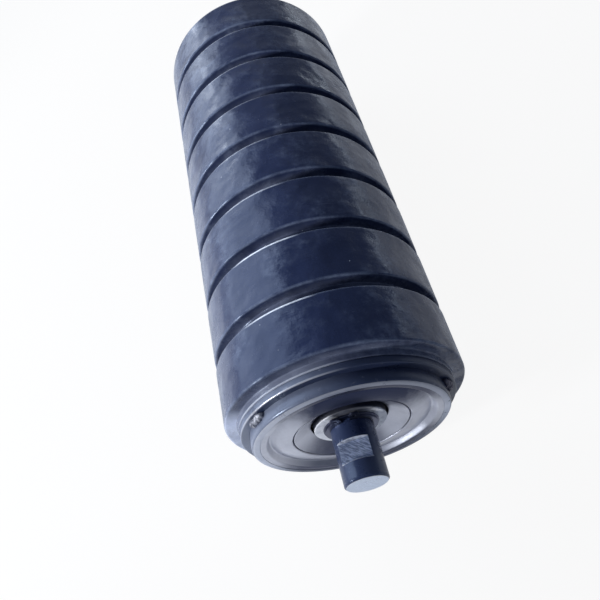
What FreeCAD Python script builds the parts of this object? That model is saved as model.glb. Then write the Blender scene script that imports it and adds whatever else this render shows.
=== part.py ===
"""Impact idler roller: rubber rings on a steel tube that turns on a fixed shaft.

Millimetres. The roller axis is Y, the origin is the middle of the roller, +Z is the
side that one pair of shaft flats faces, and the front end is at -Y. Every piece of an
end is drawn inward from the plane of the tube end, so "inset" and "depth" count from it.
"""
import FreeCAD, Part

import math
import os

import Sketcher

ring_count = 8
ball_count = 7
weld_count = 3
weld_phase = -141  # degrees about the roller axis from +X
weld_spacing = 130  # degrees from one weld to the next

# Driving dimensions, each written once: alias, millimetres, what it measures
sizes = [
    ("tube_diameter", 114, "outside of the shell tube"),
    ("tube_wall", 4.5, "wall of the shell tube"),
    ("tube_round", 2, "rounding of the tube ends"),
    ("tube_overhang", 7.5, "tube past each retaining ring"),
    ("ring_fit", 0.1, "radial room of what is pushed on the tube"),
    ("collar_height", 5.5, "spacing collar of a rubber ring above the tube"),
    ("collar_width", 3.75, "length of the collar on each side of a tread"),
    ("collar_round", 0.6, "rounding of the collar edges"),
    ("tread_height", 7.5, "tread of a rubber ring above its collars"),
    ("tread_width", 34, "length of the tread"),
    ("tread_round", 1.2, "rounding of the tread edges"),
    ("keeper_height", 5, "retaining ring above the tube"),
    ("keeper_thickness", 4, "thickness of a retaining ring"),
    ("keeper_chamfer", 0.5, "chamfer on the retaining ring rim"),
    ("weld_leg", 3.6, "leg of a tack weld"),
    ("weld_length", 14, "length of a tack weld along the tube"),
    ("shaft_diameter", 25, "shaft at the bearings and ends"),
    ("shaft_shoulder", 3, "step up to the middle of the shaft"),
    ("shaft_overhang", 30, "shaft past each end of the tube"),
    ("shaft_chamfer", 1, "chamfer at the shaft ends"),
    ("flat_across", 18, "distance across the two flats"),
    ("flat_length", 12, "length of a flat"),
    ("flat_land", 10.5, "round shaft left outside a flat"),
    ("seat_fit", 0.05, "radial room of what sits on the shaft or in the housing"),
    ("housing_sheet", 3.5, "wall of the pressed housing"),
    ("housing_flange", 14, "length of the housing flange in the tube"),
    ("housing_inset", 0.6, "housing lip below the tube end"),
    ("housing_lip", 3.6, "width of the flat housing lip"),
    ("housing_step", 2.6, "width of the slope from the lip to the dish"),
    ("housing_bend", 1.2, "rounding of the bends in the housing face"),
    ("dish_depth", 3.4, "deepest ring of the dish"),
    ("hub_inset", 1.3, "mouth of the hub"),
    ("hub_wall", 3.2, "hub wall around the dust cap"),
    ("hub_step", 2.9, "mouth of the hub outside the bearing seat"),
    ("cap_sheet", 1.5, "wall of the dust cap"),
    ("cap_gap", 1.5, "open gap between dust cap and inner labyrinth"),
    ("cap_dip", 6.2, "how far the cap face falls to its hole"),
    ("bearing_diameter", 62, "outer race outside"),
    ("bearing_width", 17, "both races"),
    ("bearing_stop", 3, "thickness of the lip that stops the outer race"),
    ("bearing_stop_reach", 4, "how far that lip reaches in"),
    ("race_wall", 5.6, "race thickness at its shoulder"),
    ("race_chamfer", 1, "chamfer on the race corners"),
    ("ball_diameter", 11.5, "bearing ball"),
    ("ball_play", 0.04, "room between a ball and its groove"),
    ("cage_wall", 3, "radial thickness of the ball cage"),
    ("cage_rim", 1.3, "cage left beside a pocket"),
    ("pocket_play", 0.2, "room around a ball in its pocket"),
    ("seal_inset", 4.5, "face of the inner labyrinth"),
    ("seal_flange", 5, "thickness of its flange"),
    ("seal_sleeve", 3.5, "wall of its sleeve on the shaft"),
    ("seal_gap", 1, "running gap between labyrinth fingers"),
    ("seal_finger", 1.5, "thickness of a labyrinth finger"),
    ("seal_reach", 2.1, "how far the fingers reach past each other"),
    ("seal_web", 2, "web of the outer labyrinth"),
    ("seal_pilot", 2, "rim of the outer labyrinth that meets the outer race"),
    ("washer_width", 3.5, "radial width of the thrust washer"),
    ("washer_thickness", 1, "thickness of that washer"),
    ("circlip_thickness", 1.2, "thickness of a circlip"),
    ("circlip_width", 3.2, "radial width of a circlip"),
    ("circlip_opening", 5, "gap between the circlip ears"),
    ("circlip_ear", 3, "radius of a circlip ear"),
    ("circlip_ear_hole", 1, "radius of the hole in an ear"),
    ("groove_depth", 0.55, "depth of the circlip groove"),
    ("groove_play", 0.1, "axial room of the circlip in its groove"),
]

doc = FreeCAD.newDocument("impact_idler")
sheet = doc.addObject("Spreadsheet::Sheet", "Sizes")
for row, (alias, number, note) in enumerate(sizes, start=1):
    sheet.set(f"A{row}", note)
    sheet.set(f"B{row}", str(number))
    sheet.setAlias(f"B{row}", alias)
worked = doc.addObject("Spreadsheet::Sheet", "Worked")
doc.recompute()

aliases = {alias for alias, number, note in sizes}

# Places that several pieces share, as formulas in the sizes above
tube_radius = "(tube_diameter / 2)"
bore_radius = "(tube_diameter / 2 - tube_wall)"
push_radius = f"({tube_radius} + ring_fit)"
collar_radius = f"({tube_radius} + collar_height)"
tread_radius = f"({collar_radius} + tread_height)"
keeper_radius = f"({tube_radius} + keeper_height)"
ring_width = "(tread_width + 2 * collar_width)"
stack_length = f"({ring_count} * {ring_width})"
tube_length = f"({stack_length} + 2 * keeper_thickness + 2 * tube_overhang)"
shaft_radius = "(shaft_diameter / 2)"
shaft_seat = f"({shaft_radius} + seat_fit)"
shaft_length = f"({tube_length} + 2 * shaft_overhang)"
circlip_back = "(seal_inset - washer_thickness)"
circlip_front = f"({circlip_back} - circlip_thickness)"
flange_back = "(seal_inset + seal_flange)"
finger_start = f"({flange_back} + seal_gap)"
finger_end = f"({flange_back} + seal_reach)"
web_start = f"({finger_end} + seal_gap)"
web_end = f"({web_start} + seal_web)"
bearing_start = f"({web_end} + seal_pilot)"
bearing_middle = f"({bearing_start} + bearing_width / 2)"
bearing_end = f"({bearing_start} + bearing_width)"
bearing_radius = "(bearing_diameter / 2)"
mouth_radius = f"({bearing_radius} + hub_step)"
pitch_radius = f"(({shaft_radius} + {bearing_radius}) / 2)"
sleeve_radius = f"({shaft_radius} + seal_sleeve)"
seal_radius = f"({sleeve_radius} + 2 * seal_gap + 2 * seal_finger)"


def bound(text):
    """Write a formula in size names as an expression that reads the sheet."""
    words = []
    word = ""
    for letter in text + " ":
        if letter.isalnum() or letter == "_":
            word += letter
            continue
        words.append("Sizes." + word if word in aliases else word)
        words.append(letter)
        word = ""
    return "".join(words).strip()


def measure(formula):
    """What a formula in size names comes to, worked out by the document."""
    worked.set("A1", "=" + bound(formula))
    worked.recompute()
    return float(worked.get("A1"))


def plane(body, role):
    for feature in body.Origin.OriginFeatures:
        if feature.Role == role:
            return feature
    raise ValueError(role)


def new_body(label):
    body = doc.addObject("PartDesign::Body", label)
    body.Label = label
    return body


def new_sketch(body, name, role="XY_Plane"):
    sketch = body.newObject("Sketcher::SketchObject", name)
    sketch.AttachmentSupport = [(plane(body, role), "")]
    sketch.MapMode = "FlatFace"
    return sketch


def pin(sketch, geometry, point, across, along):
    """Hold one sketch point by two formulas; "0" puts it on the sketch axis."""
    rules = (("DistanceX", across, -2), ("DistanceY", along, -1))
    for kind, formula, axis in rules:
        if formula == "0":
            sketch.addConstraint(Sketcher.Constraint("PointOnObject", geometry, point, axis))
            continue
        rule = Sketcher.Constraint(kind, -1, 1, geometry, point, measure(formula))
        index = sketch.addConstraint(rule)
        sketch.setExpression(f"Constraints[{index}]", bound(formula))


def outline(sketch, corners):
    """Closed outline through corners, each a pair of formulas (across, along)."""
    count = len(corners)
    first = sketch.GeometryCount
    places = [FreeCAD.Vector(measure(across), measure(along), 0) for across, along in corners]
    for k in range(count):
        sketch.addGeometry(Part.LineSegment(places[k], places[(k + 1) % count]), False)
    for k in range(count):
        after = first + (k + 1) % count
        sketch.addConstraint(Sketcher.Constraint("Coincident", first + k, 2, after, 1))
    for k, (across, along) in enumerate(corners):
        pin(sketch, first + k, 1, across, along)


def circle(sketch, across, along, radius):
    centre = FreeCAD.Vector(measure(across), measure(along), 0)
    shape = Part.Circle(centre, FreeCAD.Vector(0, 0, 1), measure(radius))
    index = sketch.addGeometry(shape, False)
    pin(sketch, index, 3, across, along)
    rule = sketch.addConstraint(Sketcher.Constraint("Radius", index, measure(radius)))
    sketch.setExpression(f"Constraints[{rule}]", bound(radius))


def turn_about_axis(body, kind, sketch, angle="360"):
    """Revolution or Groove of a sketch about the roller axis."""
    feature = body.newObject("PartDesign::" + kind, sketch.Name + "_" + kind.lower())
    feature.Profile = sketch
    feature.ReferenceAxis = (sketch, ["V_Axis"])
    feature.setExpression("Angle", bound(angle))
    doc.recompute()
    return feature


def turned(label, corners):
    """Body turned about the roller axis from corners (radius, distance along Y)."""
    body = new_body(label)
    sketch = new_sketch(body, label + "_profile")
    outline(sketch, corners)
    turn_about_axis(body, "Revolution", sketch)
    return body


def dress(body, kind, amount, corners):
    """Fillet or chamfer the round edges at corners (radius, distance along Y)."""
    places = [(measure(radius), measure(along)) for radius, along in corners]
    names = []
    for number, edge in enumerate(body.Tip.Shape.Edges, start=1):
        if not isinstance(edge.Curve, Part.Circle):
            continue
        here = (edge.Curve.Radius, edge.Curve.Center.y)
        if any(math.dist(here, place) < 1e-4 for place in places):
            names.append(f"Edge{number}")
    if len(names) < len(places):
        raise ValueError(f"{body.Label}: an edge to dress is missing")
    base = body.Tip
    feature = body.newObject("PartDesign::" + kind, f"{body.Label}_{amount}")
    feature.Base = (base, names)
    feature.setExpression("Radius" if kind == "Fillet" else "Size", bound(amount))
    doc.recompute()


def repeat_round(body, feature, sketch, count, turn=360):
    """Copies of a feature round the roller axis, evenly over a full or a part turn."""
    pattern = body.newObject("PartDesign::PolarPattern", feature.Name + "_round")
    pattern.Originals = [feature]
    pattern.Axis = (sketch, ["V_Axis"])
    pattern.Angle = turn
    pattern.Occurrences = count
    body.Tip = pattern
    doc.recompute()


def check_change(body, before, grows):
    """A cut that points away from the solid shows no error, so its volume is compared."""
    if (body.Shape.Volume > before) != grows:
        raise ValueError(f"{body.Label}: {body.Tip.Label} points the wrong way")


nodes = []


def keep(body, offset, turn=FreeCAD.Rotation()):
    """Put a finished piece at its distance along Y and list it for export."""
    body.Placement = FreeCAD.Placement(FreeCAD.Vector(0, 0, 0), turn)
    body.setExpression(".Placement.Base.y", bound(offset))
    nodes.append(body)


half_turn = FreeCAD.Rotation(FreeCAD.Vector(0, 0, 1), 180)
ends = (("front", -1), ("rear", 1))


def keep_at_end(body, sign, inset="0", phase=0):
    """Put a piece, drawn inward from a plane, that far inside the front or rear tube end."""
    turn = FreeCAD.Rotation(FreeCAD.Vector(0, 1, 0), phase)
    if sign > 0:
        turn = half_turn.multiply(turn)
    keep(body, f"{sign} * ({tube_length} / 2 - {inset})", turn)


def make_tube():
    body = turned("shell_tube", [
        (bore_radius, "0"),
        (tube_radius, "0"),
        (tube_radius, tube_length),
        (bore_radius, tube_length),
    ])
    dress(body, "Fillet", "tube_round", [(tube_radius, "0"), (tube_radius, tube_length)])
    keep(body, f"-{tube_length} / 2")


def make_ring(number):
    """Rubber ring with a wide tread and a lower spacing collar on both sides."""
    tread_end = "(collar_width + tread_width)"
    body = turned(f"rubber_ring_{number}", [
        (push_radius, "0"),
        (collar_radius, "0"),
        (collar_radius, "collar_width"),
        (tread_radius, "collar_width"),
        (tread_radius, tread_end),
        (collar_radius, tread_end),
        (collar_radius, ring_width),
        (push_radius, ring_width),
    ])
    dress(body, "Fillet", "tread_round", [(tread_radius, "collar_width"), (tread_radius, tread_end)])
    dress(body, "Fillet", "collar_round", [(collar_radius, "0"), (collar_radius, ring_width)])
    keep(body, f"{number - 1} * {ring_width} - {stack_length} / 2")


def make_keeper(end, sign):
    """Steel retaining ring that holds the stack of rubber rings on the tube."""
    back = "(tube_overhang + keeper_thickness)"
    body = turned(end + "_retaining_ring", [
        (push_radius, "tube_overhang"),
        (keeper_radius, "tube_overhang"),
        (keeper_radius, back),
        (push_radius, back),
    ])
    dress(body, "Chamfer", "keeper_chamfer", [(keeper_radius, "tube_overhang"), (keeper_radius, back)])
    keep_at_end(body, sign)


def make_welds(end, sign):
    """Short convex fillet welds in the corner between the tube and a retaining ring."""
    bulge = "0.75 * weld_leg"
    body = new_body(end + "_tack_welds")
    sketch = new_sketch(body, body.Name + "_profile")
    outline(sketch, [
        (push_radius, "tube_overhang"),
        (f"({push_radius} + weld_leg)", "tube_overhang"),
        (f"({push_radius} + {bulge})", f"(tube_overhang - {bulge})"),
        (push_radius, "(tube_overhang - weld_leg)"),
    ])
    bead = turn_about_axis(body, "Revolution", sketch, f"weld_length / {tube_radius} * 180 / pi")
    repeat_round(body, bead, sketch, weld_count, weld_spacing * (weld_count - 1))
    keep_at_end(body, sign, phase=weld_phase)


def make_housing(end, sign):
    """Pressed housing: flange in the tube, stepped dish rising to the mouth, and a deep hub."""
    flange = f"({bore_radius} - seat_fit)"
    flange_end = "(housing_inset + housing_flange)"
    inside = f"({flange} - housing_sheet)"
    lip = f"({flange} - housing_lip)"
    dish = f"({lip} - housing_step)"
    back = "(dish_depth + housing_sheet)"
    hub = f"({mouth_radius} + hub_wall)"
    hub_end = f"({bearing_end} + bearing_stop)"
    seat = f"({bearing_radius} + seat_fit)"
    stop = f"({bearing_radius} - bearing_stop_reach)"
    body = turned(end + "_bearing_housing", [
        (flange, "housing_inset"),
        (flange, flange_end),
        (inside, flange_end),
        (inside, back),
        (hub, back),
        (hub, hub_end),
        (stop, hub_end),
        (stop, bearing_end),
        (seat, bearing_end),
        (seat, web_end),
        (mouth_radius, web_end),
        (mouth_radius, "hub_inset"),
        (dish, "dish_depth"),
        (lip, "housing_inset"),
    ])
    dress(body, "Fillet", "housing_bend", [(lip, "housing_inset"), (dish, "dish_depth")])
    keep_at_end(body, sign)


def make_dust_cap(end, sign):
    """Pressed cap whose face falls as a cone to the hole around the shaft seal."""
    skirt = f"({mouth_radius} - seat_fit)"
    inside = f"({skirt} - cap_sheet)"
    opening = f"({seal_radius} + cap_gap)"
    throat = "(hub_inset + cap_dip)"
    body = turned(end + "_dust_cap", [
        (skirt, "hub_inset"),
        (skirt, web_start),
        (inside, web_start),
        (inside, "(hub_inset + cap_sheet)"),
        (opening, f"({throat} + cap_sheet)"),
        (opening, throat),
    ])
    keep_at_end(body, sign)


def make_inner_seal(end, sign):
    """Pale labyrinth half on the shaft: flange, sleeve to the bearing and one finger."""
    finger = f"({seal_radius} - seal_finger)"
    body = turned(end + "_inner_labyrinth", [
        (shaft_seat, "seal_inset"),
        (seal_radius, "seal_inset"),
        (seal_radius, finger_end),
        (finger, finger_end),
        (finger, flange_back),
        (sleeve_radius, flange_back),
        (sleeve_radius, bearing_start),
        (shaft_seat, bearing_start),
    ])
    keep_at_end(body, sign)


def make_outer_seal(end, sign):
    """Labyrinth half in the hub: rim under the dust cap, web, pilot rim and two fingers."""
    rim = f"({mouth_radius} - seat_fit)"
    pilot = f"({bearing_radius} - seat_fit)"
    pilot_inside = f"({bearing_radius} - race_wall)"
    low = f"({sleeve_radius} + seal_gap)"
    low_top = f"({low} + seal_finger)"
    high = f"({seal_radius} + seal_gap)"
    high_top = f"({high} + seal_finger)"
    body = turned(end + "_outer_labyrinth", [
        (rim, web_start),
        (rim, web_end),
        (pilot, web_end),
        (pilot, bearing_start),
        (pilot_inside, bearing_start),
        (pilot_inside, web_end),
        (low, web_end),
        (low, finger_start),
        (low_top, finger_start),
        (low_top, web_start),
        (high, web_start),
        (high, finger_start),
        (high_top, finger_start),
        (high_top, web_start),
    ])
    keep_at_end(body, sign)


def make_race(end, sign, kind):
    """Bearing race with chamfered corners and a round ball groove."""
    if kind == "inner":
        seat = shaft_seat
        shoulder = f"({shaft_radius} + race_wall)"
    else:
        seat = bearing_radius
        shoulder = f"({bearing_radius} - race_wall)"
    body = turned(f"{end}_{kind}_race", [
        (seat, bearing_start),
        (shoulder, bearing_start),
        (shoulder, bearing_end),
        (seat, bearing_end),
    ])
    dress(body, "Chamfer", "race_chamfer", [(seat, bearing_start), (seat, bearing_end)])
    before = body.Shape.Volume
    section = new_sketch(body, body.Name + "_groove")
    circle(section, pitch_radius, bearing_middle, "(ball_diameter / 2 + ball_play)")
    turn_about_axis(body, "Groove", section)
    check_change(body, before, grows=False)
    keep_at_end(body, sign)


def make_cage(end, sign):
    """Ball cage: a band with one round pocket for each ball."""
    inside = f"({pitch_radius} - cage_wall / 2)"
    outside = f"({pitch_radius} + cage_wall / 2)"
    pocket_radius = "(ball_diameter / 2 + pocket_play)"
    near = f"({bearing_middle} - {pocket_radius} - cage_rim)"
    far = f"({bearing_middle} + {pocket_radius} + cage_rim)"
    body = turned(end + "_ball_cage", [
        (inside, near),
        (outside, near),
        (outside, far),
        (inside, far),
    ])
    before = body.Shape.Volume
    sketch = new_sketch(body, body.Name + "_pocket_circle")
    circle(sketch, "0", bearing_middle, pocket_radius)
    pocket = body.newObject("PartDesign::Pocket", body.Name + "_pocket")
    pocket.Profile = sketch
    pocket.Reversed = True
    pocket.setExpression("Length", bound(bearing_radius))
    doc.recompute()
    repeat_round(body, pocket, sketch, ball_count)
    check_change(body, before, grows=False)
    keep_at_end(body, sign)


def make_balls(end, sign):
    """The balls of one bearing, evenly round the shaft."""
    balls = []
    for k in range(ball_count):
        ball = doc.addObject("Part::Sphere", f"{end}_ball_{k + 1}")
        angle = f"(360 deg * {k} / {ball_count} + 90 deg)"
        ball.setExpression("Radius", bound("ball_diameter / 2"))
        ball.setExpression(".Placement.Base.x", bound(f"{pitch_radius} * cos{angle}"))
        ball.setExpression(".Placement.Base.y", bound(bearing_middle))
        ball.setExpression(".Placement.Base.z", bound(f"{pitch_radius} * sin{angle}"))
        balls.append(ball)
    group = doc.addObject("Part::Compound", end + "_balls")
    group.Label = end + "_balls"
    group.Links = balls
    keep_at_end(group, sign)


def make_washer(end, sign):
    """Thrust washer between the inner labyrinth and the circlip."""
    rim = f"({shaft_radius} + washer_width)"
    body = turned(end + "_thrust_washer", [
        (shaft_seat, circlip_back),
        (rim, circlip_back),
        (rim, "seal_inset"),
        (shaft_seat, "seal_inset"),
    ])
    keep_at_end(body, sign)


def circlip_layer(body, kind, sketch):
    """Pad or pocket of a sketch through the thickness of a circlip."""
    before = body.Shape.Volume
    feature = body.newObject("PartDesign::" + kind, sketch.Name + "_" + kind.lower())
    feature.Profile = sketch
    feature.Reversed = kind == "Pad"
    feature.setExpression("Length", bound("circlip_thickness"))
    doc.recompute()
    check_change(body, before, grows=kind == "Pad")


def make_circlip(end, sign):
    """External circlip: an open ring with two drilled ears, in a groove of the shaft."""
    inside = f"({shaft_seat} - groove_depth)"
    outside = f"({inside} + circlip_width)"
    body = turned(end + "_circlip", [
        (inside, "0"),
        (outside, "0"),
        (outside, "circlip_thickness"),
        (inside, "circlip_thickness"),
    ])
    ear_centres = ("(circlip_opening / 2 + circlip_ear)", "-(circlip_opening / 2 + circlip_ear)")
    ears = new_sketch(body, body.Name + "_ears", "XZ_Plane")
    for across in ear_centres:
        circle(ears, across, outside, "circlip_ear")
    circlip_layer(body, "Pad", ears)
    cuts = new_sketch(body, body.Name + "_cuts", "XZ_Plane")
    outline(cuts, [
        ("-circlip_opening / 2", "0"),
        ("circlip_opening / 2", "0"),
        ("circlip_opening / 2", "shaft_diameter"),
        ("-circlip_opening / 2", "shaft_diameter"),
    ])
    for across in ear_centres:
        circle(cuts, across, outside, "circlip_ear_hole")
    circlip_layer(body, "Pocket", cuts)
    keep_at_end(body, sign, circlip_front)


def make_shaft():
    """Shaft: wide middle, bearing seats, circlip grooves and two flats at each end."""
    groove_near = f"(shaft_overhang + {circlip_front} - groove_play)"
    groove_far = f"(shaft_overhang + {circlip_back})"
    groove_bottom = f"({shaft_radius} - groove_depth)"
    shoulder = f"(shaft_overhang + {bearing_end})"
    front = [
        ("0", "0"),
        (shaft_radius, "0"),
        (shaft_radius, groove_near),
        (groove_bottom, groove_near),
        (groove_bottom, groove_far),
        (shaft_radius, groove_far),
        (shaft_radius, shoulder),
        (f"({shaft_radius} + shaft_shoulder)", shoulder),
    ]
    rear = [(across, f"({shaft_length} - {along})") for across, along in reversed(front)]
    body = turned("shaft", front + rear)
    dress(body, "Chamfer", "shaft_chamfer", [(shaft_radius, "0"), (shaft_radius, shaft_length)])
    before = body.Shape.Volume
    flat_end = "(flat_land + flat_length)"
    spans = (
        ("flat_land", flat_end),
        (f"({shaft_length} - {flat_end})", f"({shaft_length} - flat_land)"),
    )
    flats = new_sketch(body, "shaft_flats", "YZ_Plane")
    for near, far in spans:
        for side in ("", "-"):
            outline(flats, [
                (near, side + "(flat_across / 2)"),
                (far, side + "(flat_across / 2)"),
                (far, side + "shaft_diameter"),
                (near, side + "shaft_diameter"),
            ])
    cut = body.newObject("PartDesign::Pocket", "shaft_flats_cut")
    cut.Profile = flats
    cut.Midplane = True
    cut.setExpression("Length", bound("2 * shaft_diameter"))
    doc.recompute()
    check_change(body, before, grows=False)
    keep(body, f"-{shaft_length} / 2")


make_shaft()
make_tube()
for number in range(1, ring_count + 1):
    make_ring(number)
for end, sign in ends:
    make_keeper(end, sign)
    make_welds(end, sign)
    make_housing(end, sign)
    make_race(end, sign, "outer")
    make_race(end, sign, "inner")
    make_balls(end, sign)
    make_cage(end, sign)
    make_outer_seal(end, sign)
    make_inner_seal(end, sign)
    make_dust_cap(end, sign)
    make_washer(end, sign)
    make_circlip(end, sign)
doc.recompute()

for item in doc.Objects:
    if "Invalid" in item.State or "Error" in item.State:
        raise ValueError(f"{item.Label}: {item.State}")
for node in nodes:
    if node.Shape.isNull() or not node.Shape.isValid():
        raise ValueError(f"{node.Label}: the shape is not valid")

os.makedirs("parts", exist_ok=True)
for node in nodes:
    node.Shape.exportStep(f"parts/{node.Label}.step")
    print(f"{node.Label}: {len(node.Shape.Solids)} solids, {node.Shape.Volume:.0f} mm3")
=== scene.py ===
import bpy
import bmesh
import math
import numpy as np
from mathutils import Matrix, Vector


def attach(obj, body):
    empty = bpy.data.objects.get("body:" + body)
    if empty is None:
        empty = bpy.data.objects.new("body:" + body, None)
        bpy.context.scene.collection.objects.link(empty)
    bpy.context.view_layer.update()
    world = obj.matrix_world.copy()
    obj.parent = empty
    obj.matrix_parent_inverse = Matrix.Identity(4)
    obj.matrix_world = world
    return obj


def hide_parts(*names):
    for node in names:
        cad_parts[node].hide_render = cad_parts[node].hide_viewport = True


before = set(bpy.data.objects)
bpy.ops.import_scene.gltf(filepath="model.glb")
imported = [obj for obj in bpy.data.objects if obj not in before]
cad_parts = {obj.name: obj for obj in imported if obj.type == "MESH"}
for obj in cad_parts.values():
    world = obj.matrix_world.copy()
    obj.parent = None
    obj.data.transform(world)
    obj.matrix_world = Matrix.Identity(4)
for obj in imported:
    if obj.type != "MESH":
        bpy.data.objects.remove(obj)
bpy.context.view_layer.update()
mm = 0.001  # pieces are worked out in millimetres and put into the mesh in metres
samePoint = 1e-7  # metres within which the points of a pole are one
fullTurn = 2 * np.pi
tubeEnd = 177.5  # from the middle of the roller to the plane of each tube end
ends = {"front": -1.0, "rear": 1.0}
print("frame loaded with", len(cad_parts), "nodes")


# mesh making

# A closed outline in (radius, y). Each corner turns on an arc of its own rounding, written as a
# weighted quadratic through the corner, and the straight run after it is cut into equal steps.
def roundedOutline(corners, step, arcSteps=6):
    points = np.array([c[:2] for c in corners], float)
    rounding = np.array([c[2] for c in corners], float)
    after = np.roll(points, -1, 0)
    turnOrder = np.sum(points[:, 0] * after[:, 1] - after[:, 0] * points[:, 1])
    if turnOrder < 0:  # the outline runs towards +y on its outer side, so that faces point outwards
        points, rounding = points[::-1], rounding[::-1]
    toBefore = np.roll(points, 1, 0) - points
    toAfter = np.roll(points, -1, 0) - points
    toBefore /= np.linalg.norm(toBefore, axis=1)[:, None]
    toAfter /= np.linalg.norm(toAfter, axis=1)[:, None]
    halfAngle = np.arccos(np.clip(np.sum(toBefore * toAfter, axis=1), -1, 1)) / 2
    reach = (rounding / np.tan(halfAngle))[:, None]
    arcStart, arcEnd = points + toBefore * reach, points + toAfter * reach
    s = np.linspace(0, 1, arcSteps + 1)[:, None]
    runs = []
    for i in range(len(points)):
        w = math.sin(halfAngle[i])
        arc = (1 - s) ** 2 * arcStart[i] + 2 * s * (1 - s) * w * points[i] + s ** 2 * arcEnd[i]
        arc = arc / ((1 - s) ** 2 + 2 * s * (1 - s) * w + s ** 2)
        runs.append(arc if rounding[i] > 0 else points[i:i + 1])
        goal = arcStart[(i + 1) % len(points)]
        count = max(1, int(np.linalg.norm(goal - arcEnd[i]) / step))
        runs.append(arcEnd[i] + (goal - arcEnd[i]) * (np.arange(1, count) / count)[:, None])
    return np.concatenate(runs)


# Quads of a grid of rows x columns, closed round in either direction, with uv = (column, row) / count.
def gridQuads(rows, columns, closeRows, closeColumns):
    rowStarts, columnStarts = np.arange(rows - (not closeRows)), np.arange(columns - (not closeColumns))
    r, c = np.meshgrid(rowStarts, columnStarts, indexing="ij")
    corners = [(r, c), (r + 1, c), (r + 1, c + 1), (r, c + 1)]
    quads = np.stack([(a % rows) * columns + b % columns for a, b in corners], -1).reshape(-1, 4)
    uv = np.stack([np.stack((b / columns, a / rows), -1) for a, b in corners], -2).reshape(-1, 2)
    return quads, uv


# Puts whole arrays into a mesh object, merges the points of a pole, and keeps hard edges sharp.
def meshPiece(name, points, quads, uv, sharpAngle=35, mergePoles=False):
    mesh = bpy.data.meshes.new(name)
    mesh.vertices.add(len(points))
    mesh.vertices.foreach_set("co", (points * mm).astype(np.float32).ravel())
    mesh.loops.add(quads.size)
    mesh.loops.foreach_set("vertex_index", quads.astype(np.int32).ravel())
    mesh.polygons.add(len(quads))
    mesh.polygons.foreach_set("loop_start", np.arange(0, quads.size, 4, dtype=np.int32))
    mesh.update(calc_edges=True)
    mesh.uv_layers.new(name="around").data.foreach_set("uv", uv.astype(np.float32).ravel())
    if mergePoles:
        work = bmesh.new()
        work.from_mesh(mesh)
        bmesh.ops.remove_doubles(work, verts=work.verts, dist=samePoint)
        bmesh.ops.dissolve_degenerate(work, edges=work.edges, dist=samePoint / 10)
        work.to_mesh(mesh)
        work.free()
    mesh.shade_smooth()
    mesh.set_sharp_from_angle(angle=math.radians(sharpAngle))
    piece = bpy.data.objects.new(name, mesh)
    bpy.context.scene.collection.objects.link(piece)
    return piece


# A turned piece: the outline's point (r, y) at angle t goes to (r cos t, y, r sin t). unevenness(t, r, y)
# gives millimetres to add to r and y.
def turnedPiece(name, outline, columns, unevenness=None, sharpAngle=35):
    t = np.arange(columns) * (fullTurn / columns)
    radius, along = np.repeat(outline[:, :1], columns, 1), np.repeat(outline[:, 1:], columns, 1)
    if unevenness:
        outward, sideways = unevenness(t[None, :], radius, along)
        radius, along = radius + outward, along + sideways
    points = np.stack((radius * np.cos(t), along, radius * np.sin(t)), -1).reshape(-1, 3)
    quads, uv = gridQuads(len(outline), columns, True, True)
    return meshPiece(name, points, quads, uv, sharpAngle)


# Says which finish a piece has, what carries it and what it stands for.
def fit(piece, body, slotName, material, *nodes):
    piece.data.materials.append(material)
    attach(piece, body)
    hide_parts(*nodes)


# material making

# Puts values on a node's inputs: an output of another node is linked, anything else is set.
def feed(tree, node, inputs):
    for key, value in inputs.items():
        if isinstance(value, bpy.types.NodeSocket):
            tree.links.new(value, node.inputs[key])
        else:
            node.inputs[key].default_value = value


# A new node of a kind, with its settings and inputs.
def addNode(tree, kind, inputs, **settings):
    node = tree.nodes.new(kind)
    for key, value in settings.items():
        setattr(node, key, value)
    feed(tree, node, inputs)
    return node


# Sets a shader's inputs by name, with _ for a space.
def wire(tree, shader, **inputs):
    feed(tree, shader, {key.replace("_", " "): value for key, value in inputs.items()})


# A new material, its tree, its Object coordinates and its shader.
def newFinish(name):
    material = bpy.data.materials.new(name)
    material.use_nodes = True
    tree = material.node_tree
    place = addNode(tree, "ShaderNodeTexCoord", {}).outputs["Object"]
    return material, tree, place, tree.nodes["Principled BSDF"]


# Fractal noise around 0.5, with so many cells per metre, drawn out by stretch.
def noise(tree, place, scale, detail=4.0, roughness=0.55, stretch=None):
    if stretch:
        place = addNode(tree, "ShaderNodeMapping", {"Vector": place, "Scale": stretch}).outputs[0]
    return addNode(tree, "ShaderNodeTexNoise", {
        "Vector": place, "Scale": scale, "Detail": detail, "Roughness": roughness}).outputs["Fac"]


# toLow at low, toHigh at high, straight or smooth between them and level outside.
def span(tree, value, low, high, toLow=0.0, toHigh=1.0, smooth=False):
    return addNode(tree, "ShaderNodeMapRange", {
        "Value": value, "From Min": low, "From Max": high, "To Min": toLow, "To Max": toHigh},
        interpolation_type="SMOOTHSTEP" if smooth else "LINEAR").outputs[0]


# One operation on one or two values.
def math2(tree, operation, a, b=0.0):
    return addNode(tree, "ShaderNodeMath", {0: a, 1: b}, operation=operation).outputs[0]


# a plus b.
def add(tree, a, b):
    return math2(tree, "ADD", a, b)


# The larger of a and b.
def larger(tree, a, b):
    return math2(tree, "MAXIMUM", a, b)


# The product of all the values.
def times(tree, first, *others):
    for other in others:
        first = math2(tree, "MULTIPLY", first, other)
    return first


# 1 between low and high, 0 outside.
def within(tree, value, low, high):
    return times(tree, math2(tree, "GREATER_THAN", value, low), math2(tree, "LESS_THAN", value, high))


# How far a value is from a middle, up or down.
def awayFrom(tree, value, middle):
    return math2(tree, "ABSOLUTE", math2(tree, "SUBTRACT", value, middle))


# A number: a where the share is 0, b where it is 1.
def blendValue(tree, share, a, b):
    return addNode(tree, "ShaderNodeMix", {0: share, 2: a, 3: b}).outputs[0]


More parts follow.
